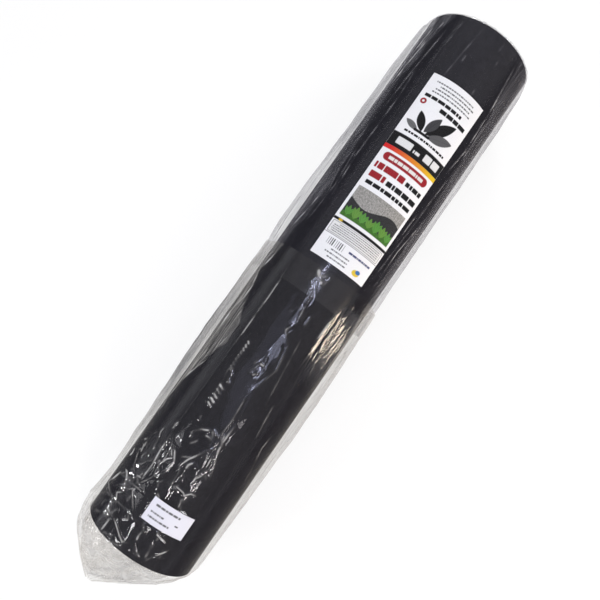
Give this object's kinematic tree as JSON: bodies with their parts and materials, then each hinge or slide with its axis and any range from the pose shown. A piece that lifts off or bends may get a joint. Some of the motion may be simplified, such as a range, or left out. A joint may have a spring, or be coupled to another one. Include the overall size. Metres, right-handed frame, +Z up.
{
  "type": "roll of weed control sheet",
  "caption": "Long roll of black nonwoven weed control sheet wound on a paper core, with a printed label, in clear film bags that pull off its ends.",
  "frame": {"origin": "on the floor, under the middle of the roll's length, on the flat strip that the bagged roll lies on", "axes": "+X along the roll towards the head of the label, +Z up, +Y to the side where the sheet's free edge is"},
  "size_m": [1.1922, 0.2338, 0.1985],
  "materials": {
    "core_board": "matt kraft paper",
    "nonwoven": "matt black nonwoven",
    "printed_paper": "satin printed paper",
    "clear_film": "glossy clear polythene film",
    "sticker_paper": "matt white paper",
    "hazy_film": "hazy clear polythene film"
  },
  "bodies": {
    "roll": {"core_tube": "core_board", "weed_sheet": "nonwoven", "label_insert": "printed_paper"},
    "lower_bag": {"lower_bag_film": "clear_film", "shipping_sticker": "sticker_paper"},
    "upper_bag": {"upper_bag_film": "hazy_film"}
  },
  "joints": [
    {"name": "lower_bag_slide", "type": "slide", "parent": "roll", "child": "lower_bag", "axis": [-1, 0, 0], "range_m": [0, 0.56]},
    {"name": "upper_bag_slide", "type": "slide", "parent": "roll", "child": "upper_bag", "axis": [1, 0, 0], "range_m": [0, 0.56]}
  ]
}
